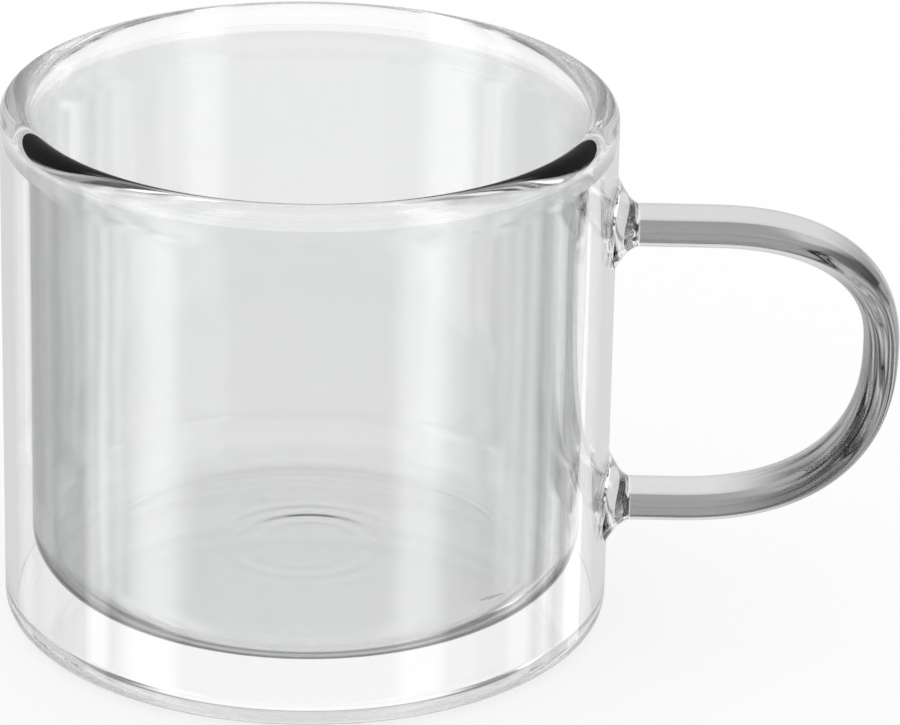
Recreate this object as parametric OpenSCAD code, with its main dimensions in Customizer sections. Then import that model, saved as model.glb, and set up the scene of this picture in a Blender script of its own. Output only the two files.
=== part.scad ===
// Double walled glass mug: a clear outer vessel, a liner hung inside it from
// a fused rim, and a smoke grey loop handle welded on with clear gathers.
// Millimetres, +Z up. The origin is the centre of the foot on the table, and
// the handle points along +X.

/* [Outer vessel] */
// Outside diameter of the cup
cup_d = 82; // [74:0.5:100]
// Height from the table to the top of the rim
cup_h = 73; // [68:0.5:110]
// Thickness of the outer wall
wall_t = 1.6; // [1.2:0.1:2.4]
// Thickness of the outer base inside its foot
base_t = 1.8; // [1.5:0.1:3]
// Outside radius between the wall and the base
base_corner_r = 3; // [2.2:0.1:5]
// Inside radius between the wall and the base
base_fillet_r = 2.4; // [1.2:0.1:4]
// Width of the flat ring that the cup stands on
foot_w = 4; // [2.5:0.25:8]
// Height of the hollow under the base
kick_h = 0.6; // [0.3:0.1:1]

/* [Vent] */
// Diameter of the vent hole in the base
vent_d = 4; // [2.5:0.25:6]
// Distance of the vent from the axis
vent_offset = 26.5; // [12:0.5:30]
// Angle of the vent from the handle
vent_angle = -11; // [-180:1:180]
// Depth of the seal's face below the inside of the base
seal_t = 1.2; // [0.8:0.1:1.5]
// Height of the seal's drop above the inside of the base
seal_rise = 0.7; // [0.3:0.1:1.5]

/* [Liner] */
// Thickness of the liner's side
liner_t = 1.2; // [0.9:0.1:2]
// Thickness of the liner's floor
liner_floor_t = 1.4; // [1:0.1:2.5]
// Air gap between the two walls
gap = 2.2; // [1.8:0.1:6]
// Air gap between the base and the liner
floor_gap = 4.5; // [3:0.25:12]
// Outside radius between the liner's side and floor
liner_corner_r = 7.5; // [4:0.25:14]
// Height that the middle of the liner's floor is pushed up
punt_h = 1.4; // [0.5:0.1:2.5]
// Radius of the pushed up part of the liner's floor
punt_r = 25; // [15:0.5:27]
// Height over which the liner flares out to the rim
neck_h = 7.5; // [5:0.5:14]

/* [Rim] */
// Width of the air gap at the rim, where the flared liner almost meets the wall
rim_gap = 0.3; // [0.2:0.1:1.2]
// Thickness of the liner's edge at the rim
edge_t = 2.1; // [1.2:0.1:2.4]
// Height of the fused rim above its two seams
rim_h = 3.6; // [3.2:0.2:8]
// Depth of glass over the top of the air gap
rim_crown_t = 1.8; // [1.4:0.1:2.8]

/* [Handle] */
// Reach of the handle beyond the wall
handle_reach = 38.5; // [34:0.5:50]
// Distance of the upper arm's middle below the rim
handle_drop = 16.85; // [14:0.1:22]
// Height of the lower arm's middle above the table
handle_rise = 16.3; // [14:0.1:22]
// Thickness of the handle in its own plane
handle_t = 4.75; // [3.6:0.1:6]
// Width of the handle across its plane
handle_w = 9.1; // [7.5:0.1:12]
// Straight length of the upper arm
upper_run = 9.4; // [4:0.1:14]
// Straight length of the lower arm
lower_run = 5.3; // [2:0.1:12]
// Height of the loop's widest place, as a share of the way up between the arms
widest_share = 0.575; // [0.4:0.005:0.7]

/* [Welds] */
// Distance from the wall to the handle's end
weld_l = 3; // [2:0.1:5]
// Growth of the weld above and below the handle where it meets the wall
weld_flare_h = 3.6; // [1.5:0.1:4.5]
// Growth of the weld to each side of the handle where it meets the wall
weld_flare_w = 2.2; // [1:0.1:2.4]
// Height that the weld's root is drawn up above the arm
weld_lift = 0.6; // [0:0.1:1.5]

/* [Hidden] */
$fn = 96;
// Length by which cuts run past what they cut
overrun = 1;

// Outer vessel
cup_r = cup_d / 2;
wall_in_r = cup_r - wall_t;
foot_in_r = cup_r - base_corner_r - foot_w;

// Rim: both legs stand upright on the seam plane
seam_z = cup_h - rim_h;
rim_w = wall_t + rim_gap + edge_t;
rim_in_r = cup_r - rim_w;

// Liner
liner_r = wall_in_r - gap;
liner_in_r = liner_r - liner_t;
liner_z = base_t + floor_gap;
neck_z = seam_z - neck_h;
edge_r = wall_in_r - rim_gap;

// Handle's middle line, in its own plane: distance from the axis, then height
upper_z = cup_h - handle_drop;
lower_z = handle_rise;
widest_z = lower_z + (upper_z - lower_z) * widest_share;
handle_root = cup_r + weld_l;
upright_x = cup_r + handle_reach - handle_t / 2;

// Power of the loop's bends and of its oval section: 2 is an ellipse, more is squarer
oval_power = 2.4;
oval_sides = 32;
// Rings of the handle between an arm and the loop's widest place
loop_rings = 20;
weld_rings = 10;
// Power of the weld's hollow: 1 is a straight flare, more is hollower
weld_power = 1.8;
// The weld is made deep enough to cross the wall's curve, then cut to it
weld_depth = weld_l + wall_t;

// Radius of the circle that rises by h over a half chord c
function dome_r(c, h) = (c * c + h * h) / (2 * h);

// Half section of a filled vessel with a rounded lower corner
module vessel_half(r, z0, z1, corner) {
    translate([0, z0]) square([r - corner, z1 - z0]);
    translate([0, z0 + corner]) square([r, z1 - z0 - corner]);
    translate([r - corner, z0 + corner]) circle(corner);
}

// Half section below a dome that stands h high on a circle of radius c
module dome_half(c, z, h) {
    translate([0, z + h - dome_r(c, h)]) circle(dome_r(c, h), $fn = 360);
}

// Half section of the flared neck, filled to the axis: out from r by one arc, back to edge by another
module neck_half(r, edge, top) {
    flare = edge - r;
    flare_r = (neck_h * neck_h + flare * flare) / (4 * flare);
    middle_z = neck_z + neck_h / 2;
    difference() {
        translate([0, neck_z]) square([edge, neck_h / 2]);
        translate([r + flare_r, neck_z]) circle(flare_r);
    }
    translate([0, middle_z]) square([edge - flare_r, neck_h / 2]);
    intersection() {
        translate([0, middle_z]) square([r + flare_r, neck_h / 2]);
        translate([edge - flare_r, seam_z]) circle(flare_r);
    }
    if (top > seam_z) translate([0, seam_z]) square([edge, top - seam_z]);
}

// Half section of one side of the liner's glass, filled to the axis
module liner_half(r, z, corner, edge, top) {
    difference() {
        vessel_half(r, z, neck_z, corner);
        dome_half(punt_r, z, punt_h);
    }
    neck_half(r, edge, top);
}

// Power that keeps its sign, for the oval's outline
function signed_pow(v, p) = sign(v) * pow(abs(v), p);

// Points of an oval with half thickness a and half width b
function oval(a, b) = [
    for (i = [0 : oval_sides - 1])
        let (angle = 360 * i / oval_sides)
        [a * signed_pow(cos(angle), 2 / oval_power), b * signed_pow(sin(angle), 2 / oval_power)]
];

// Station of a bend, 0 degrees where it leaves its arm and 90 at the loop's widest place:
// distance from the axis, height, and direction of the outward normal
function loop_station(run, arm_z, angle) =
    let (
        a = upright_x - handle_root - run,
        b = arm_z - widest_z,
        u = pow(sin(angle), 2 / oval_power),
        v = pow(cos(angle), 2 / oval_power),
        normal = atan2(pow(v, oval_power - 1) / b, pow(u, oval_power - 1) / a)
    )
    [handle_root + run + a * u, widest_z + b * v, normal];

// Stations of the whole handle, from the upper weld to the lower one
function handle_stations() = concat(
    [[handle_root, upper_z, 90]],
    [for (i = [0 : loop_rings]) loop_station(upper_run, upper_z, 90 * i / loop_rings)],
    [for (i = [loop_rings - 1 : -1 : 0]) loop_station(lower_run, lower_z, 90 * i / loop_rings)],
    [[handle_root, lower_z, -90]]
);

// Solid skinned over a list of rings, each with the same number of points
module skin(rings) {
    count = len(rings[0]);
    last = len(rings) - 1;
    sides = [
        for (i = [0 : last - 1], j = [0 : count - 1])
            let (k = (j + 1) % count, p = i * count, q = p + count)
            each [[p + j, q + j, q + k], [p + j, q + k, p + k]]
    ];
    caps = [[for (j = [0 : count - 1]) j], [for (j = [count - 1 : -1 : 0]) last * count + j]];
    polyhedron([for (ring = rings) each ring], concat(sides, caps), convexity = 4);
}

// Share of the weld's flare at distance s from the handle's end: a hollow that steepens to the wall
function weld_share(s) = pow(s / weld_l, weld_power);

// Gather at height z, lofted from the handle's oval and cut to the wall's own surface
module weld(z) {
    difference() {
        skin([
            for (i = [0 : weld_rings])
                let (s = weld_depth * i / weld_rings, grow = weld_share(s))
                [for (p = oval(handle_t / 2 + weld_flare_h * grow, handle_w / 2 + weld_flare_w * grow))
                    [handle_root - s, p[1], z + p[0] + weld_lift * grow]]
        ]);
        cylinder(r = cup_r, h = cup_h, $fn = 360);
    }
}

module outer_wall() {
    color([0.9, 0.94, 0.95, 0.35]) difference() {
        rotate_extrude() difference() {
            vessel_half(cup_r, 0, seam_z, base_corner_r);
            vessel_half(wall_in_r, base_t, seam_z + overrun, base_fillet_r);
            dome_half(foot_in_r, 0, kick_h);
        }
        rotate(vent_angle) translate([vent_offset, 0, -overrun])
            cylinder(d = vent_d, h = base_t + 2 * overrun);
    }
}

module inner_liner() {
    color([0.82, 0.84, 0.85, 0.4]) rotate_extrude() difference() {
        liner_half(liner_r, liner_z, liner_corner_r, edge_r, seam_z);
        liner_half(liner_in_r, liner_z + liner_floor_t, liner_corner_r - liner_t, rim_in_r, seam_z + overrun);
    }
}

module rim_ring() {
    color([0.88, 0.92, 0.94, 0.4]) rotate_extrude() difference() {
        union() {
            translate([rim_in_r, seam_z]) square([rim_w, rim_h - rim_w / 2]);
            translate([rim_in_r + rim_w / 2, cup_h - rim_w / 2]) circle(d = rim_w);
        }
        translate([edge_r, seam_z - overrun])
            square([rim_gap, rim_h + overrun - rim_crown_t - rim_gap / 2]);
        translate([edge_r + rim_gap / 2, cup_h - rim_crown_t - rim_gap / 2]) circle(d = rim_gap);
    }
}

module vent_seal() {
    color([0.86, 0.9, 0.92, 0.5]) rotate(vent_angle) translate([vent_offset, 0, 0]) rotate_extrude() {
        translate([0, base_t - seal_t]) square([vent_d / 2, seal_t]);
        intersection() {
            translate([0, base_t]) square([vent_d / 2, seal_rise]);
            dome_half(vent_d / 2, base_t, seal_rise);
        }
    }
}

module handle() {
    color([0.42, 0.43, 0.44, 0.85]) skin([
        for (station = handle_stations())
            [for (p = oval(handle_t / 2, handle_w / 2))
                [station[0] + p[0] * cos(station[2]), p[1], station[1] + p[0] * sin(station[2])]]
    ]);
}

module upper_weld() {
    color([0.88, 0.92, 0.94, 0.5]) weld(upper_z);
}

module lower_weld() {
    color([0.88, 0.92, 0.94, 0.5]) weld(lower_z);
}

outer_wall();
inner_liner();
rim_ring();
vent_seal();
handle();
upper_weld();
lower_weld();
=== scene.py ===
import math

import bmesh
import bpy
import numpy as np
from mathutils import Matrix, Vector


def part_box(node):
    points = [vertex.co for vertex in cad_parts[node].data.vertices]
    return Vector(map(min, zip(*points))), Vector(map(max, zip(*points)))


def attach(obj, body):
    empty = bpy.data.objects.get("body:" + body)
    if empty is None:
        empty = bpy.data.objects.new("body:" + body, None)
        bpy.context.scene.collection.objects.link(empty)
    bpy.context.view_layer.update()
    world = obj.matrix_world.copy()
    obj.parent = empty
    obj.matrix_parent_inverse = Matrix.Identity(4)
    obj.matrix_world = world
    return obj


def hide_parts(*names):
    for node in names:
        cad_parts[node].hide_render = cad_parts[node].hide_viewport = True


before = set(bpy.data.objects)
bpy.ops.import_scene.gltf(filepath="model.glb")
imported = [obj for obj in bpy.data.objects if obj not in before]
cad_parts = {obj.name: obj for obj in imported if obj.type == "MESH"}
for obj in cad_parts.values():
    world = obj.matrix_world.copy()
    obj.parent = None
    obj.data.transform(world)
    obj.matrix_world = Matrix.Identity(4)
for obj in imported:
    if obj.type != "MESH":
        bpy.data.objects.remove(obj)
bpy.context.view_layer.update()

MM = 0.001

# Sizes of the glass that the nodes' boxes do not give, in metres
WALL_T = 1.6 * MM
BASE_T = 1.8 * MM
BASE_CORNER_R = 3.0 * MM
BASE_FILLET_R = 2.4 * MM
FOOT_W = 4.0 * MM
KICK_H = 0.6 * MM
LINER_T = 1.2 * MM
LINER_FLOOR_T = 1.4 * MM
LINER_CORNER_R = 7.5 * MM
GAP = 2.2 * MM
PUNT_H = 1.4 * MM
PUNT_R = 29.0 * MM
EDGE_T = 2.1 * MM
NECK_DROP = 4.4 * MM
LIP_DROP = 3.9 * MM
LIP_RISE = 0.6 * MM
TIP_IN = 1.1 * MM
TIP_RISE = 0.8 * MM
TIP_W = 0.2 * MM
SLANT_DROP = 1.6 * MM
HANDLE_T = 4.75 * MM
UPPER_RUN = 9.4 * MM
LOWER_RUN = 5.3 * MM
WIDEST_SHARE = 0.575
OVAL_POWER = 2.4
WELD_FLARE_H = 3.6 * MM
WELD_FLARE_W = 3.4 * MM
WELD_LIFT = 0.6 * MM
WELD_POWER = 1.8

# Sizes and places taken from the frame
wall_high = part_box("outer_wall")[1]
liner_low, liner_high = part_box("inner_liner")
rim_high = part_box("rim_ring")[1]
seal_low, seal_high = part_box("vent_seal")
handle_low, handle_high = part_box("handle")
cup_r = wall_high.y
cup_h = rim_high.z
seam_z = wall_high.z
wall_in_r = cup_r - WALL_T
foot_in_r = cup_r - BASE_CORNER_R - FOOT_W
liner_r = wall_in_r - GAP
liner_z = liner_low.z
neck_r = liner_high.y
rim_in_r = neck_r - EDGE_T
rim_w = cup_r - rim_in_r
vent_centre = (seal_low + seal_high) / 2
vent_r = (seal_high.x - seal_low.x) / 2
handle_root = handle_low.x
handle_w = handle_high.y - handle_low.y
upright_x = handle_high.x - HANDLE_T / 2
upper_z = handle_high.z - HANDLE_T / 2
lower_z = handle_low.z + HANDLE_T / 2
widest_z = lower_z + (upper_z - lower_z) * WIDEST_SHARE

# Fineness of the meshes
TURNS = 360
LINER_TURNS = 240
ARC_STEPS = 60
KICK_STEPS = 40
BASE_STEPS = 30
LINER_ARC_STEPS = 44
FLARE_STEPS = 40
FOLD_STEPS = 120
LIP_STEPS = 12
NECK_STEPS = 16
TIP_STEPS = 24
LINER_DOME_STEPS = 84
SIDE_STEPS = 20
SHORT_STEPS = 8
FEW_STEPS = 4
EDGE_EASE = 0.12 * MM
SMOOTH_ANGLE = math.radians(40)
HANDLE_SMOOTH_ANGLE = math.radians(60)
WELD_SMOOTH_ANGLE = math.radians(35)
SAME_POINT = 1e-7
# How close to a seam a face to fuse lies, and how large a part of its normal points across it
ON_PLANE = 1e-6
ON_CURVE = 1e-5
FACING = 0.9
HALF_FACING = 0.5
EDGE_ON = 0.1

FUSED = "fused"
# Fused pieces lap over each other by a hair, so that light meets one face after the other
LAP = 0.004 * MM


def arc(r, z, radius, start, end, steps):
    """Points of an arc in the half section, angles in degrees from the outward direction."""
    turn = [math.radians(start + (end - start) * i / steps) for i in range(steps + 1)]
    return [(r + radius * math.cos(a), z + radius * math.sin(a)) for a in turn]


def run(start, end, steps, ease=EDGE_EASE):
    """Points of a straight stretch, with one more close to each end to hold the shading there."""
    start, end = np.array(start), np.array(end)
    length = np.linalg.norm(end - start)
    close = ease / length
    shares = [0, close, *[close + (1 - 2 * close) * i / steps for i in range(1, steps)], 1 - close, 1]
    return [tuple(start + (end - start) * s) for s in shares]


def dome(radius, z, height, steps):
    """Points of a low dome of that height, from its edge at height z to the axis."""
    big_r = (radius ** 2 + height ** 2) / (2 * height)
    rs = [radius * (1 - i / steps) for i in range(steps + 1)]
    return [(r, z + height - big_r + math.sqrt(big_r ** 2 - r ** 2)) for r in rs]


def tidy(points):
    """The same points without repeats."""
    kept = [points[0]]
    for p in points[1:]:
        if math.dist(p, kept[-1]) > SAME_POINT:
            kept.append(p)
    return kept


def make_piece(name, verts, faces, slot, material, smooth_angle=SMOOTH_ANGLE):
    """A closed mesh piece that rides on the part and stands for the node it is named after."""
    mesh = bpy.data.meshes.new(name)
    mesh.from_pydata([tuple(v) for v in verts], [], faces)
    piece = bpy.data.objects.new(name + "_glass", mesh)
    bpy.context.collection.objects.link(piece)
    bm = bmesh.new()
    bm.from_mesh(mesh)
    bmesh.ops.recalc_face_normals(bm, faces=bm.faces)
    bm.to_mesh(mesh)
    bm.free()
    mesh.polygons.foreach_set("use_smooth", [True] * len(mesh.polygons))
    mesh.set_sharp_from_angle(angle=smooth_angle)
    mesh.materials.append(material)
    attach(piece, "root")
    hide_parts(name)
    return piece


def mark_fused(piece, is_fused):
    """Marks the faces that fuse a piece to its neighbour, through which light passes straight on."""
    mesh = piece.data
    flags = mesh.attributes.new(FUSED, "FLOAT", "FACE")
    flags.data.foreach_set("value", [float(is_fused(p.center, p.normal)) for p in mesh.polygons])


def lathe(section, closed, wave=None, turns=TURNS):
    """Vertices and faces of a section turned about the axis, where an open section starts and ends."""
    section = tidy(section)
    verts, rows = [], []
    for r, z in section:
        if r < SAME_POINT:
            rows.append([len(verts)])
            verts.append((0, 0, z))
            continue
        rows.append(list(range(len(verts), len(verts) + turns)))
        for k in range(turns):
            a = 2 * math.pi * k / turns
            dr, dz = wave(r, z, a) if wave else (0, 0)
            verts.append(((r + dr) * math.cos(a), (r + dr) * math.sin(a), z + dz))
    faces = []
    pairs = list(zip(rows, rows[1:]))
    if closed:
        pairs.append((rows[-1], rows[0]))
    for a, b in pairs:
        for k in range(turns):
            n = (k + 1) % turns
            if len(a) == 1:
                faces.append((a[0], b[k], b[n]))
            elif len(b) == 1:
                faces.append((a[k], b[0], a[n]))
            else:
                faces.append((a[k], b[k], b[n], a[n]))
    return verts, faces


# Materials: faint drift of the colour, breath marks and ripples in all the glass
DRIFT_SCALE = 40.0
DRIFT_RANGE = (0.35, 0.65)
BREATH_SCALE, BREATH_DETAIL = 120.0, 4.0
BREATH_RANGE = (0.55, 0.8)
BREATH_ROUGHNESS = 0.03
RIPPLE_SCALE, RIPPLE_DETAIL = 90.0, 1.0
RIPPLE_H = 0.004 * MM
# Painted shade: dark streaks in the colour round the handle's bend, whose ends are shares of the handle's
# length
ACROSS, ALONG = "across", "along"
STREAKS_ACROSS, STREAKS_ALONG, STREAK_DETAIL = 7.0, 3.0, 3.0
STREAK_BASE, STREAK_DEPTH = -0.75, 2.7
BEND_EDGES = ((0.2, 0.4), (0.92, 0.74))
# The welds' roots on the wall
ROOT_TOLERANCE = 0.01 * MM
root_half_t = HANDLE_T / 2 + WELD_FLARE_H
root_half_w = handle_w / 2 + WELD_FLARE_W


def nodes_of(material):
    """The node tree of a material, emptied."""
    material.use_nodes = True
    tree = material.node_tree
    tree.nodes.clear()
    return tree


def link(tree, a, b):
    tree.links.new(a, b)


def math_node(tree, operation, *values, clamp=False):
    """A Math node fed by sockets or numbers; returns its output."""
    node = tree.nodes.new("ShaderNodeMath")
    node.operation = operation
    node.use_clamp = clamp
    for socket, value in zip(node.inputs, values):
        if isinstance(value, (int, float)):
            socket.default_value = value
        else:
            link(tree, value, socket)
    return node.outputs[0]


def noise_node(tree, coordinate, scale, detail=2.0):
    """The value of a noise over a coordinate."""
    node = tree.nodes.new("ShaderNodeTexNoise")
    node.inputs["Scale"].default_value = scale
    node.inputs["Detail"].default_value = detail
    link(tree, coordinate, node.inputs["Vector"])
    return node.outputs["Fac"]


def ramp_node(tree, value, low, high):
    """A colour ramp between two colours over the middle of a noise."""
    node = tree.nodes.new("ShaderNodeValToRGB")
    for element, position, colour in zip(node.color_ramp.elements, DRIFT_RANGE, (low, high)):
        element.position = position
        element.color = (*colour, 1)
    link(tree, value, node.inputs["Fac"])
    return node.outputs["Color"]


def ease_node(tree, value, start, end):
    """0 on the side of start, 1 on the side of end, and smooth between them."""
    node = tree.nodes.new("ShaderNodeMapRange")
    node.interpolation_type = "SMOOTHSTEP"
    node.inputs["From Min"].default_value = start
    node.inputs["From Max"].default_value = end
    link(tree, value, node.inputs["Value"])
    return node.outputs["Result"]


def oval_share(tree, offset, half_size):
    """One axis's share in the oval's sum, which is 1 on its outline."""
    share = math_node(tree, "ABSOLUTE", math_node(tree, "DIVIDE", offset, half_size))
    return math_node(tree, "POWER", share, OVAL_POWER)


def weld_mask(tree, coordinate):
    """1 on the wall's outer surface under the two weld roots, 0 elsewhere."""
    split = tree.nodes.new("ShaderNodeSeparateXYZ")
    link(tree, coordinate, split.inputs[0])
    front = math_node(tree, "GREATER_THAN", split.outputs["X"], cup_r / 2)
    from_axis = math_node(
        tree, "SQRT",
        math_node(
            tree, "ADD",
            math_node(tree, "MULTIPLY", split.outputs["X"], split.outputs["X"]),
            math_node(tree, "MULTIPLY", split.outputs["Y"], split.outputs["Y"]),
        ),
    )
    outside = math_node(tree, "COMPARE", from_axis, cup_r, ROOT_TOLERANCE)
    inside = []
    for z in (upper_z, lower_z):
        across = oval_share(tree, split.outputs["Y"], root_half_w)
        height = math_node(tree, "SUBTRACT", split.outputs["Z"], z + WELD_LIFT)
        up = oval_share(tree, height, root_half_t)
        inside.append(math_node(tree, "LESS_THAN", math_node(tree, "ADD", across, up), 1.0))
    either = math_node(tree, "MAXIMUM", *inside)
    return math_node(tree, "MULTIPLY", math_node(tree, "MULTIPLY", either, front), outside)


def painted_shade_streaks(tree):
    """1 in the clear arms of the handle, less in the streaks of painted shade round its bend."""
    across, along = tree.nodes.new("ShaderNodeAttribute"), tree.nodes.new("ShaderNodeAttribute")
    across.attribute_name, along.attribute_name = ACROSS, ALONG
    place = tree.nodes.new("ShaderNodeCombineXYZ")
    link(tree, math_node(tree, "MULTIPLY", across.outputs["Fac"], STREAKS_ACROSS), place.inputs["X"])
    link(tree, math_node(tree, "MULTIPLY", along.outputs["Fac"], STREAKS_ALONG), place.inputs["Y"])
    grain = noise_node(tree, place.outputs[0], 1.0, STREAK_DETAIL)
    depth = math_node(tree, "MULTIPLY_ADD", grain, STREAK_DEPTH, STREAK_BASE)
    bend = 1.0
    for start, end in BEND_EDGES:
        bend = math_node(tree, "MULTIPLY", bend, ease_node(tree, along.outputs["Fac"], start, end))
    return math_node(tree, "SUBTRACT", 1.0, math_node(tree, "MULTIPLY", depth, bend), clamp=True)


def glass(name, low, high, ior, absorb=None, density=0.0, under_welds=False, with_painted_shade=False):
    """Glass with a faintly drifting colour, breath marks and ripples, painted shade in streaks where asked
    for, and no surface where pieces are fused.
    """
    material = bpy.data.materials.new(name)
    tree = nodes_of(material)
    out = tree.nodes.new("ShaderNodeOutputMaterial")
    shader = tree.nodes.new("ShaderNodeBsdfPrincipled")
    place = tree.nodes.new("ShaderNodeTexCoord").outputs["Object"]
    shader.inputs["Transmission Weight"].default_value = 1.0
    shader.inputs["IOR"].default_value = ior
    drift_and_shade = ramp_node(tree, noise_node(tree, place, DRIFT_SCALE), low, high)
    # Painted shade: the colour darkens in streaks round the handle's bend
    if with_painted_shade:
        shade = tree.nodes.new("ShaderNodeVectorMath")
        shade.operation = "SCALE"
        link(tree, drift_and_shade, shade.inputs[0])
        link(tree, painted_shade_streaks(tree), shade.inputs["Scale"])
        drift_and_shade = shade.outputs[0]
    link(tree, drift_and_shade, shader.inputs["Base Color"])
    breath = tree.nodes.new("ShaderNodeMapRange")
    breath.inputs["From Min"].default_value = BREATH_RANGE[0]
    breath.inputs["From Max"].default_value = BREATH_RANGE[1]
    breath.inputs["To Max"].default_value = BREATH_ROUGHNESS
    link(tree, noise_node(tree, place, BREATH_SCALE, BREATH_DETAIL), breath.inputs["Value"])
    link(tree, breath.outputs["Result"], shader.inputs["Roughness"])
    bump = tree.nodes.new("ShaderNodeBump")
    bump.inputs["Strength"].default_value = 1.0
    bump.inputs["Distance"].default_value = RIPPLE_H
    link(tree, noise_node(tree, place, RIPPLE_SCALE, RIPPLE_DETAIL), bump.inputs["Height"])
    link(tree, bump.outputs["Normal"], shader.inputs["Normal"])
    clear = tree.nodes.new("ShaderNodeBsdfTransparent")
    mix = tree.nodes.new("ShaderNodeMixShader")
    flag = tree.nodes.new("ShaderNodeAttribute")
    flag.attribute_name = FUSED
    fused = flag.outputs["Fac"]
    if under_welds:
        fused = math_node(tree, "MAXIMUM", fused, weld_mask(tree, place))
    link(tree, fused, mix.inputs["Fac"])
    link(tree, shader.outputs[0], mix.inputs[1])
    link(tree, clear.outputs[0], mix.inputs[2])
    link(tree, mix.outputs[0], out.inputs["Surface"])
    if absorb:
        volume = tree.nodes.new("ShaderNodeVolumeAbsorption")
        volume.inputs["Color"].default_value = (*absorb, 1)
        volume.inputs["Density"].default_value = density
        link(tree, volume.outputs[0], out.inputs["Volume"])
    return material


WHITE = (1.0, 1.0, 1.0)
CLEAR_LOW, SMOKE_LOW = (0.993, 0.996, 0.995), (0.97, 0.97, 0.97)
CLEAR_IOR, SMOKE_IOR = 1.47, 1.5
LINER_TINT, LINER_DENSITY = (0.30, 0.31, 0.33), 150.0
SMOKE_TINT, SMOKE_DENSITY = (0.2, 0.21, 0.22), 52.0
clear_glass = glass("clear_glass", CLEAR_LOW, WHITE, CLEAR_IOR, under_welds=True)
liner_glass = glass("liner_glass", CLEAR_LOW, WHITE, CLEAR_IOR, LINER_TINT, LINER_DENSITY)
# The smoked handle's colour carries painted shade in streaks round its bend
smoke_glass = glass("smoke_glass", SMOKE_LOW, WHITE, SMOKE_IOR, SMOKE_TINT, SMOKE_DENSITY, with_painted_shade=True)


# Ends of the air gap's top and of the liner's flare, as points of the half section
tip_r = wall_in_r - TIP_IN
tip_z = seam_z + TIP_RISE - TIP_W / 2
neck_foot, neck_head = (liner_r, seam_z - NECK_DROP), (tip_r, tip_z)
lip_foot, lip_head = (liner_r - LINER_T, seam_z - LIP_DROP), (rim_in_r, seam_z + LIP_RISE)
slant_foot, slant_head = (wall_in_r, seam_z - SLANT_DROP), (tip_r + TIP_W, tip_z)
slant_share = SLANT_DROP / (slant_head[1] - slant_foot[1])
slant_seam = (slant_foot[0] + (slant_head[0] - slant_foot[0]) * slant_share, seam_z)


def flare(low, high, start_z, end_z, steps):
    """Points of a smooth flare from low to high, taken between two heights."""
    points = []
    for i in range(steps + 1):
        z = start_z + (end_z - start_z) * i / steps
        share = min(max((z - low[1]) / (high[1] - low[1]), 0), 1)
        points.append((low[0] + (high[0] - low[0]) * share ** 2 * (3 - 2 * share), z))
    return points


def on_seam(centre, normal):
    """Whether a face lies in the seam under the rim."""
    return abs(centre.z - seam_z) < 2 * LAP and abs(normal.z) > FACING


# Outer vessel
vessel = (
    list(reversed(dome(foot_in_r, 0, KICK_H, KICK_STEPS)))
    + run((foot_in_r, 0), (cup_r - BASE_CORNER_R, 0), FEW_STEPS)
    + arc(cup_r - BASE_CORNER_R, BASE_CORNER_R, BASE_CORNER_R, -90, 0, ARC_STEPS)
    + run((cup_r, BASE_CORNER_R), (cup_r, seam_z + LAP), SIDE_STEPS)
    + run((slant_seam[0], seam_z + LAP), slant_foot, SHORT_STEPS)
    + run(slant_foot, (wall_in_r, BASE_T + BASE_FILLET_R), SIDE_STEPS)
    + arc(wall_in_r - BASE_FILLET_R, BASE_T + BASE_FILLET_R, BASE_FILLET_R, 0, -90, ARC_STEPS)
    + run((wall_in_r - BASE_FILLET_R, BASE_T), (0, BASE_T), BASE_STEPS)
)
outer_wall = make_piece("outer_wall", *lathe(vessel, closed=False), "clear_glass", clear_glass)
mark_fused(outer_wall, on_seam)

# Liner
WAVE_LOW, WAVE_HIGH, WAVE_FADE = 14.0 * MM, 62.0 * MM, 8.0 * MM
WAVES = ((0.045 * MM, 9, 13.0 * MM), (0.02 * MM, 23, 7.0 * MM))
SWIRL_H, SWIRL_STEP, SWIRL_R, SWIRL_REACH = 0.02 * MM, 3.4 * MM, 10.0 * MM, 3.2 * MM
SWIRL_SWAY = 0.6


def blown_wave(r, z, a):
    """Faint waviness of the blown side, and the twist mark in the middle of the floor."""
    if r < PUNT_R:
        fade = math.exp(-((r - SWIRL_R) / SWIRL_REACH) ** 2) * (1 + SWIRL_SWAY * math.sin(a))
        return 0, SWIRL_H * fade * math.cos(2 * math.pi * r / SWIRL_STEP + a)
    fade = min(max((z - WAVE_LOW) / WAVE_FADE, 0), 1) * min(max((WAVE_HIGH - z) / WAVE_FADE, 0), 1)
    return fade * sum(h * math.sin(n * a + math.sin(z / step + n)) for h, n, step in WAVES), 0


def liner_side(r, z, corner, foot, head):
    """One surface of the liner from the axis to the seam."""
    return (
        list(reversed(dome(PUNT_R, z, PUNT_H, LINER_DOME_STEPS)))
        + run((PUNT_R, z), (r - corner, z), FEW_STEPS)
        + arc(r - corner, z + corner, corner, -90, 0, LINER_ARC_STEPS)
        + run((r, z + corner), foot, SIDE_STEPS)
        + flare(foot, head, foot[1], seam_z + LAP, FLARE_STEPS)
    )


outer_side = liner_side(liner_r, liner_z, LINER_CORNER_R, neck_foot, neck_head)
inner_side = liner_side(
    liner_r - LINER_T, liner_z + LINER_FLOOR_T, LINER_CORNER_R - LINER_T, lip_foot, lip_head
)
liner_verts, liner_faces = lathe(
    outer_side + list(reversed(inner_side)), closed=False, wave=blown_wave, turns=LINER_TURNS
)
inner_liner = make_piece("inner_liner", liner_verts, liner_faces, "liner_glass", liner_glass)
mark_fused(inner_liner, on_seam)

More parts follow.
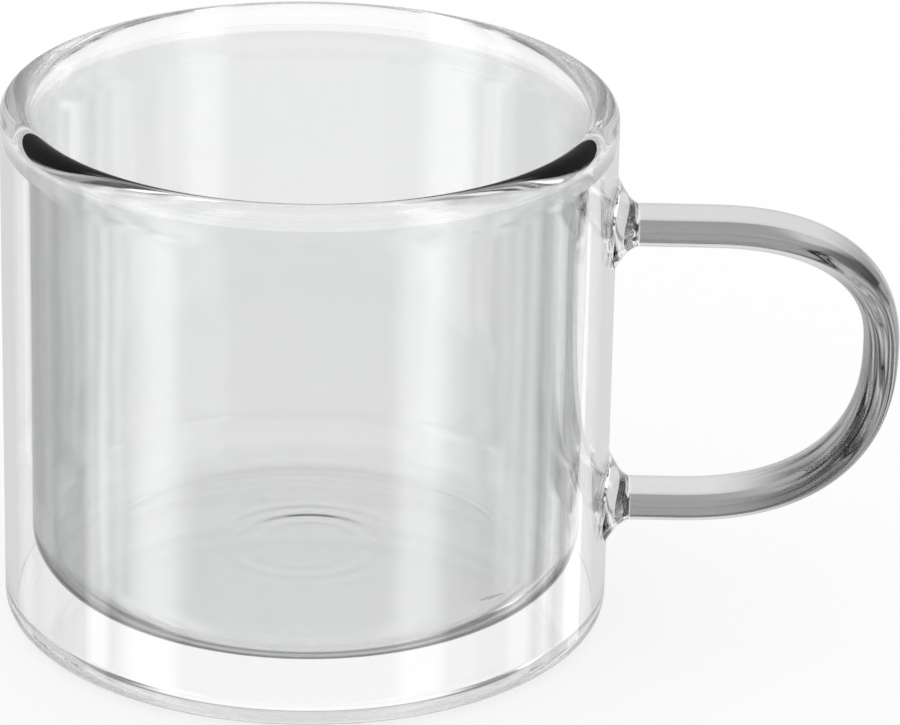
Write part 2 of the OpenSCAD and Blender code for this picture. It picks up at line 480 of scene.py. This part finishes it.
# Rim: two legs joined by a round fold, with the slanting end of the air gap between them
rim_top_r = rim_w / 2
rim = (
    run((cup_r, seam_z), (cup_r, cup_h - rim_top_r), SHORT_STEPS)
    + arc(rim_in_r + rim_top_r, cup_h - rim_top_r, rim_top_r, 0, 180, FOLD_STEPS)
    + run((rim_in_r, cup_h - rim_top_r), lip_head, SHORT_STEPS)
    + flare(lip_foot, lip_head, lip_head[1], seam_z, LIP_STEPS)
    + flare(neck_foot, neck_head, seam_z, tip_z, NECK_STEPS)
    + arc(tip_r + TIP_W / 2, tip_z, TIP_W / 2, 180, 0, TIP_STEPS)
    + run(slant_head, slant_seam, SHORT_STEPS)
)
rim_ring = make_piece("rim_ring", *lathe(rim, closed=True), "clear_glass", clear_glass)
mark_fused(rim_ring, on_seam)


# Handle and welds


def oval(a, b, steps):
    """Points of an oval with half thickness a and half width b."""
    points = []
    for i in range(steps):
        turn = 2 * math.pi * i / steps
        c, s = math.cos(turn), math.sin(turn)
        points.append((
            math.copysign(a * abs(c) ** (2 / OVAL_POWER), c),
            math.copysign(b * abs(s) ** (2 / OVAL_POWER), s),
        ))
    return points


def loop_station(straight, arm_z, turn):
    """Place and outward normal of the loop's middle line.

    The turn is 0 where the loop leaves its arm and a right angle where it is widest.
    """
    a = upright_x - handle_root - straight
    b = arm_z - widest_z
    u = math.sin(turn) ** (2 / OVAL_POWER)
    v = abs(math.cos(turn)) ** (2 / OVAL_POWER)
    normal = math.atan2(v ** (OVAL_POWER - 1) / b, u ** (OVAL_POWER - 1) / a)
    return handle_root + straight + a * u, widest_z + b * v, normal


def skin(rings):
    """Faces over a list of rings of the same length, with a cap at each end."""
    count, last = len(rings[0]), len(rings) - 1
    faces = []
    for i in range(last):
        for j in range(count):
            k = (j + 1) % count
            faces.append((i * count + j, (i + 1) * count + j, (i + 1) * count + k, i * count + k))
    faces.append(tuple(range(count)))
    faces.append(tuple(last * count + j for j in range(count)))
    return [p for ring in rings for p in ring], faces


OVAL_STEPS = 128
LOOP_STEPS = 120
ARM_STEPS = 12
right_angle = math.pi / 2
handle_start = handle_root - LAP
stations = [(handle_start + UPPER_RUN * i / ARM_STEPS, upper_z, right_angle) for i in range(ARM_STEPS)]
stations += [loop_station(UPPER_RUN, upper_z, right_angle * i / LOOP_STEPS) for i in range(LOOP_STEPS + 1)]
stations += [
    loop_station(LOWER_RUN, lower_z, right_angle * i / LOOP_STEPS) for i in reversed(range(LOOP_STEPS))
]
stations += [
    (handle_start + LOWER_RUN * i / ARM_STEPS, lower_z, -right_angle) for i in reversed(range(ARM_STEPS))
]
section = oval(HANDLE_T / 2, handle_w / 2, OVAL_STEPS)
rings = [[(x + p * math.cos(n), q, z + p * math.sin(n)) for p, q in section] for x, z, n in stations]
handle = make_piece("handle", *skin(rings), "smoke_glass", smoke_glass, HANDLE_SMOOTH_ANGLE)
mark_fused(handle, lambda centre, normal: abs(centre.x - handle_root) < 2 * LAP and normal.x < -FACING)
# Places across and along the handle, by which the painted shade round its bend is laid out
for name, values in (
    (ACROSS, [p / (HANDLE_T / 2) for ring in rings for p, q in section]),
    (ALONG, [i / (len(rings) - 1) for i, ring in enumerate(rings) for p in ring]),
):
    handle.data.attributes.new(name, "FLOAT", "POINT").data.foreach_set("value", values)

WELD_RINGS = 40
ROOT_RINGS = 10


def weld(name, z):
    """Clear gather from the handle's oval to its flared root on the wall."""
    rings = []
    for i in range(WELD_RINGS + 1):
        share = i / WELD_RINGS
        grow = share ** WELD_POWER
        ring = []
        for p, q in oval(HANDLE_T / 2 + WELD_FLARE_H * grow, handle_w / 2 + WELD_FLARE_W * grow, OVAL_STEPS):
            wall_x = math.sqrt(cup_r ** 2 - q * q)
            ring.append((handle_root + (wall_x - handle_root) * share, q, z + p + WELD_LIFT * grow))
        rings.append(ring)
    edge = rings[-1]
    for i in range(1, ROOT_RINGS):
        keep = 1 - i / ROOT_RINGS
        ring = []
        for x, y, h in edge:
            wall_x = math.sqrt(cup_r ** 2 - (y * keep) ** 2)
            ring.append((wall_x, y * keep, z + WELD_LIFT + (h - z - WELD_LIFT) * keep))
        rings.append(ring)
    piece = make_piece(name, *skin(rings), "clear_glass", clear_glass, WELD_SMOOTH_ANGLE)

    def fused(centre, normal):
        on_wall = math.hypot(centre.x, centre.y) < cup_r + ON_CURVE
        on_handle = abs(centre.x - handle_root) < ON_PLANE
        return (on_wall and normal.x < -HALF_FACING) or (on_handle and normal.x > FACING)

    mark_fused(piece, fused)


weld("upper_weld", upper_z)
weld("lower_weld", lower_z)

# Vent: a hole in the base closed by a drop of glass
VENT_TURNS = 96
DRILL_L = 4 * BASE_T
SEAL_FLOOR_STEPS, SEAL_SIDE_STEPS, SEAL_DOME_STEPS = 8, 6, 24
SEAL_EASE = 0.05 * MM
bpy.ops.mesh.primitive_cylinder_add(
    vertices=VENT_TURNS, radius=vent_r, depth=DRILL_L, location=(vent_centre.x, vent_centre.y, BASE_T / 2)
)
drill = bpy.context.object
bore = outer_wall.modifiers.new("vent", "BOOLEAN")
bore.operation = "DIFFERENCE"
bore.solver = "EXACT"
bore.object = drill
cut = bpy.data.meshes.new_from_object(outer_wall.evaluated_get(bpy.context.evaluated_depsgraph_get()))
outer_wall.modifiers.clear()
outer_wall.data = cut
bpy.data.objects.remove(drill)


def in_bore(centre, normal):
    """Whether a face lies on the side of the vent hole."""
    away = math.hypot(centre.x - vent_centre.x, centre.y - vent_centre.y)
    return abs(away - vent_r) < ON_CURVE and abs(normal.z) < EDGE_ON


if FUSED in cut.attributes:
    cut.attributes.remove(cut.attributes[FUSED])
mark_fused(outer_wall, lambda c, n: on_seam(c, n) or in_bore(c, n))
cut.set_sharp_from_angle(angle=SMOOTH_ANGLE)

seal_rise = seal_high.z - BASE_T
seal_section = (
    [(0, seal_low.z)]
    + run((0, seal_low.z), (vent_r, seal_low.z), SEAL_FLOOR_STEPS, SEAL_EASE)
    + run((vent_r, seal_low.z), (vent_r, BASE_T), SEAL_SIDE_STEPS, SEAL_EASE)
    + dome(vent_r, BASE_T, seal_rise, SEAL_DOME_STEPS)
)
seal_verts, seal_faces = lathe(seal_section, closed=False)
seal_verts = [(x + vent_centre.x, y + vent_centre.y, z) for x, y, z in seal_verts]
vent_seal = make_piece("vent_seal", seal_verts, seal_faces, "clear_glass", clear_glass)
mark_fused(vent_seal, in_bore)

# Camera: the photograph's view, with its long lens and slight roll
IMAGE_W = 900
CAMERA_D = 0.7214
CAMERA_ELEVATION = math.radians(22.8)
CAMERA_ROLL = math.radians(1.23)
FOCAL_PX = 5351
SENSOR_W = 36.0
CLIP_NEAR, CLIP_FAR = 0.01, 20
target = Vector((19.18 * MM, 0, 35.6 * MM))

back = Vector((0, -math.cos(CAMERA_ELEVATION), math.sin(CAMERA_ELEVATION)))
up = Vector((0, math.sin(CAMERA_ELEVATION), math.cos(CAMERA_ELEVATION)))
right = Vector((1, 0, 0))
rolled_right = right * math.cos(CAMERA_ROLL) + up * math.sin(CAMERA_ROLL)
rolled_up = up * math.cos(CAMERA_ROLL) - right * math.sin(CAMERA_ROLL)
camera_data = bpy.data.cameras.new("camera")
camera_data.lens = FOCAL_PX * SENSOR_W / IMAGE_W
camera_data.sensor_width = SENSOR_W
camera_data.clip_start = CLIP_NEAR
camera_data.clip_end = CLIP_FAR
camera = bpy.data.objects.new("camera", camera_data)
bpy.context.collection.objects.link(camera)
turn = Matrix((rolled_right, rolled_up, back)).transposed().to_4x4()
camera.matrix_world = Matrix.Translation(target + back * CAMERA_D) @ turn
bpy.context.scene.camera = camera

# Floor: white, with the cup's soft shadow
FLOOR_R = 0.6
FLOOR_Z = -0.2 * MM
FLOOR_TURNS = 128
FLOOR_PAINT = (0.98, 0.98, 0.98, 1)
SHADOW_SHARE = 0.2
# The glass sees the floor close to the cup where it is looked straight through, and else the studio
NEAR_R, FAR_R = 52.0 * MM, 75.0 * MM
MIRRORED_DEPTH = 0.5


def light_path(tree):
    """The Light Path's outputs, whether a ray is in the glass, and whether it has been mirrored."""
    path = tree.nodes.new("ShaderNodeLightPath").outputs
    in_glass = math_node(tree, "MAXIMUM", path["Is Glossy Ray"], path["Is Transmission Ray"])
    return path, in_glass, math_node(tree, "GREATER_THAN", path["Glossy Depth"], MIRRORED_DEPTH)


floor_mesh = bpy.data.meshes.new("floor")
floor_bm = bmesh.new()
bmesh.ops.create_circle(floor_bm, cap_ends=True, segments=FLOOR_TURNS, radius=FLOOR_R)
bmesh.ops.translate(floor_bm, verts=floor_bm.verts, vec=(0, 0, FLOOR_Z))
floor_bm.to_mesh(floor_mesh)
floor_bm.free()
floor = bpy.data.objects.new("floor", floor_mesh)
bpy.context.collection.objects.link(floor)
floor_material = bpy.data.materials.new("floor")
tree = nodes_of(floor_material)
floor_out = tree.nodes.new("ShaderNodeOutputMaterial")
floor_mix = tree.nodes.new("ShaderNodeMixShader")
floor_glow = tree.nodes.new("ShaderNodeEmission")
floor_glow.inputs["Strength"].default_value = 1.0
floor_paint = tree.nodes.new("ShaderNodeBsdfDiffuse")
floor_paint.inputs["Color"].default_value = FLOOR_PAINT
link(tree, floor_glow.outputs[0], floor_mix.inputs[1])
link(tree, floor_paint.outputs[0], floor_mix.inputs[2])
from_cup = tree.nodes.new("ShaderNodeVectorMath")
from_cup.operation = "LENGTH"
link(tree, tree.nodes.new("ShaderNodeTexCoord").outputs["Object"], from_cup.inputs[0])
beyond = ease_node(tree, from_cup.outputs["Value"], NEAR_R, FAR_R)
in_glass, mirrored = light_path(tree)[1:]
seen_outside = math_node(tree, "SUBTRACT", 1.0, in_glass)
link(tree, math_node(tree, "MULTIPLY", seen_outside, SHADOW_SHARE), floor_mix.inputs["Fac"])
floor_gone = tree.nodes.new("ShaderNodeBsdfTransparent")
floor_share = tree.nodes.new("ShaderNodeMixShader")
unseen = math_node(tree, "MAXIMUM", beyond, mirrored)
link(tree, math_node(tree, "MULTIPLY", unseen, in_glass), floor_share.inputs["Fac"])
link(tree, floor_mix.outputs[0], floor_share.inputs[1])
link(tree, floor_gone.outputs[0], floor_share.inputs[2])
link(tree, floor_share.outputs[0], floor_out.inputs["Surface"])
floor_mesh.materials.append(floor_material)

# World: white where the glass is looked straight through, and a dim studio with soft lights where it mirrors
world = bpy.data.worlds.new("studio")
bpy.context.scene.world = world
world.use_nodes = True
tree = world.node_tree
tree.nodes.clear()
world_out = tree.nodes.new("ShaderNodeOutputWorld")
sky = tree.nodes.new("ShaderNodeBackground")
sky.inputs["Color"].default_value = (1, 1, 1, 1)
path, in_glass, mirrored = light_path(tree)
direction = tree.nodes.new("ShaderNodeSeparateXYZ")
link(tree, tree.nodes.new("ShaderNodeTexCoord").outputs["Generated"], direction.inputs[0])
azimuth = math_node(
    tree, "ARCTAN2", direction.outputs["X"], math_node(tree, "MULTIPLY", direction.outputs["Y"], -1.0)
)
height = math_node(tree, "ARCSINE", direction.outputs["Z"])


def blend_to(value, target_level, share):
    """value moved towards target_level by share."""
    kept = math_node(tree, "MULTIPLY", math_node(tree, "SUBTRACT", 1.0, share), value)
    return math_node(tree, "ADD", kept, math_node(tree, "MULTIPLY", share, target_level))


def lobe(sides, heights, soft):
    """1 inside a range of azimuths and heights, fading over soft at its edges, in degrees."""
    edges = (
        (azimuth, sides[0], 1), (azimuth, sides[1], -1), (height, heights[0], 1), (height, heights[1], -1),
    )
    inside = 1.0
    for value, edge, way in edges:
        rise = ease_node(tree, value, math.radians(edge - soft / 2), math.radians(edge + soft / 2))
        if way < 0:
            rise = math_node(tree, "SUBTRACT", 1.0, rise)
        inside = math_node(tree, "MULTIPLY", inside, rise)
    return inside


# Each part of the studio: azimuths from the camera's side, heights and softness in degrees, and level
ROOM = 0.25
STUDIO = {
    "wall behind, right": ((132, 200), (-48, -4), 5, 0.7),
    "wall behind, left": ((-200, -127), (-48, -4), 6, 0.68),
    "dim end of the left flag": ((-125, -111), (-70, 0), 4, 0.3),
    "left flag": ((-110, -91), (-70, 0), 3, 0.0),
    "bright edge of the left flag": ((-90, -80), (-70, 0), 2.5, 1.6),
    "left softbox": ((-72, -48), (-70, 10), 14, 2.1),
    "table in front": ((-46, 36), (-70, -4), 8, 0.75),
    "right softbox": ((37, 57), (-70, 10), 10, 1.8),
    "table at the right": ((59, 71), (-70, 0), 6, 0.75),
    "dim table at the right": ((71, 85), (-70, 0), 6, 0.4),
    "bright edge of the right flag": ((86, 97.5), (-70, 0), 3, 1.1),
    "right flag": ((99, 117), (-70, 0), 2.5, 0.0),
    "slot in the right flag": ((104, 109.5), (-70, 0), 2, 0.75),
    "far end of the right flag": ((117, 122), (-70, 0), 3, 0.7),
    "strip light behind, right": ((122, 131.5), (-48, -4), 3, 2.0),
    "ceiling": ((-200, 200), (48, 100), 16, 0.5),
    "overhead light in front": ((-65, 65), (15, 75), 15, 1.0),
    "table below": ((-200, 200), (-100, -60), 10, 1.0),
}
studio = ROOM
for sides, heights, soft, level in STUDIO.values():
    studio = blend_to(studio, level, lobe(sides, heights, soft))
# Light behind that only reaches the eye through the glass
BEHIND = 0.9
BEHIND_SIDES, BEHIND_HEIGHTS, BEHIND_SOFT = ((105, 200), (-200, -105)), (4, 60), 12
for sides in BEHIND_SIDES:
    share = math_node(tree, "MULTIPLY", lobe(sides, BEHIND_HEIGHTS, BEHIND_SOFT), path["Is Transmission Ray"])
    studio = blend_to(studio, BEHIND, share)
AMBIENT = 1.0
level = blend_to(AMBIENT, blend_to(1.0, studio, mirrored), in_glass)
level = blend_to(level, 1.0, path["Is Camera Ray"])
link(tree, level, sky.inputs["Strength"])
link(tree, sky.outputs[0], world_out.inputs["Surface"])

GLASS_BOUNCES = 160
FUSED_BOUNCES = 64
scene = bpy.context.scene
scene.view_settings.view_transform = "Standard"
scene.cycles.max_bounces = GLASS_BOUNCES
scene.cycles.transmission_bounces = GLASS_BOUNCES
scene.cycles.glossy_bounces = GLASS_BOUNCES
scene.cycles.transparent_max_bounces = FUSED_BOUNCES
